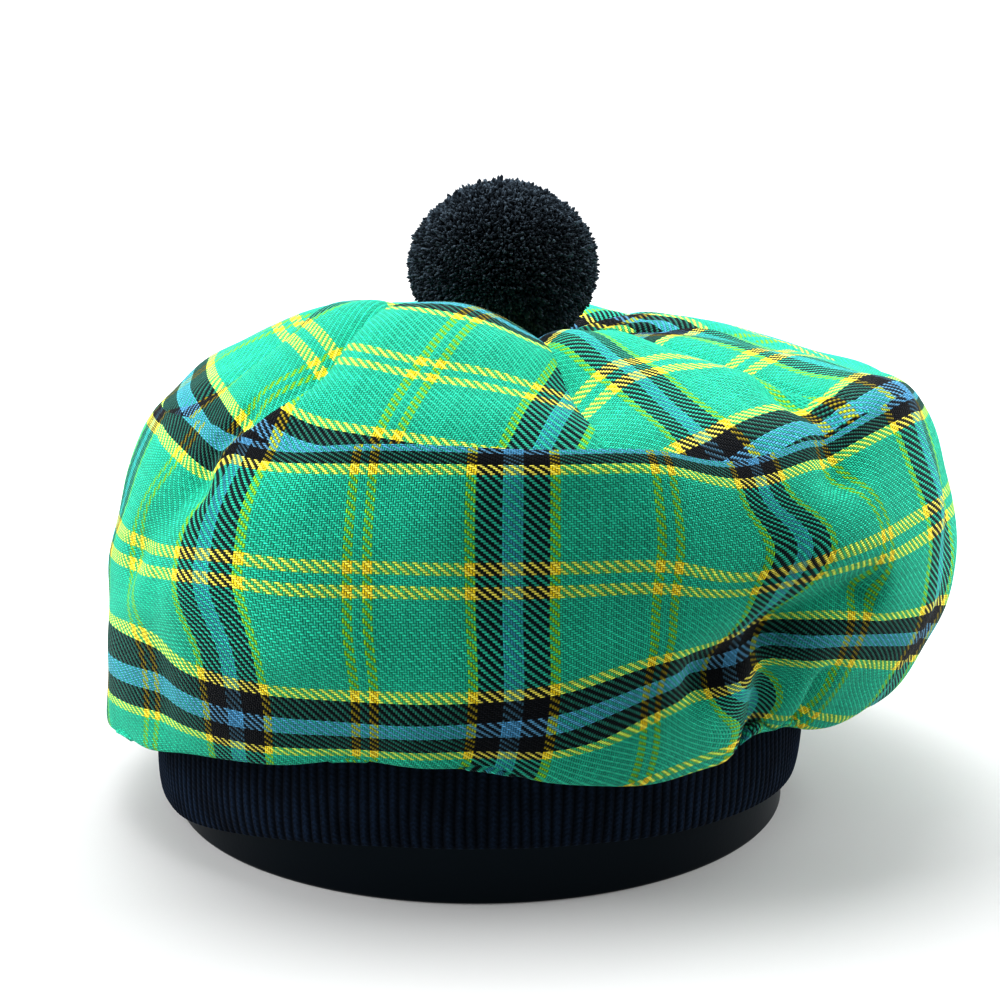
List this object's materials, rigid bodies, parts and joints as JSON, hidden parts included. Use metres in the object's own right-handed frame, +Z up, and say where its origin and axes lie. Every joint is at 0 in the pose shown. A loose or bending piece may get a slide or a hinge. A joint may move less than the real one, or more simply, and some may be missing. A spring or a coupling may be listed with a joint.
{
  "type": "tam o shanter on a display ring stand",
  "caption": "Soft wide tartan cap with a darted crown, a ribbed knit headband and a yarn pompom, shown on a plain round display ring.",
  "frame": {"origin": "on the surface the ring stands on, under the middle of the crown's outline", "axes": "+Z up; the picture looks along +Y; +X is to the right in the picture"},
  "size_m": [0.2505, 0.2448, 0.1798],
  "materials": {
    "tartan_cloth": "brushed twill tartan, matte",
    "rib_knit": "fine ribbed knit, matte",
    "pompom_yarn": "cut yarn, matte",
    "ring_plastic": "smooth satin plastic"
  },
  "bodies": {
    "root": {"crown": "tartan_cloth", "headband": "rib_knit", "pompom": "pompom_yarn", "display_ring": "ring_plastic"}
  },
  "joints": []
}
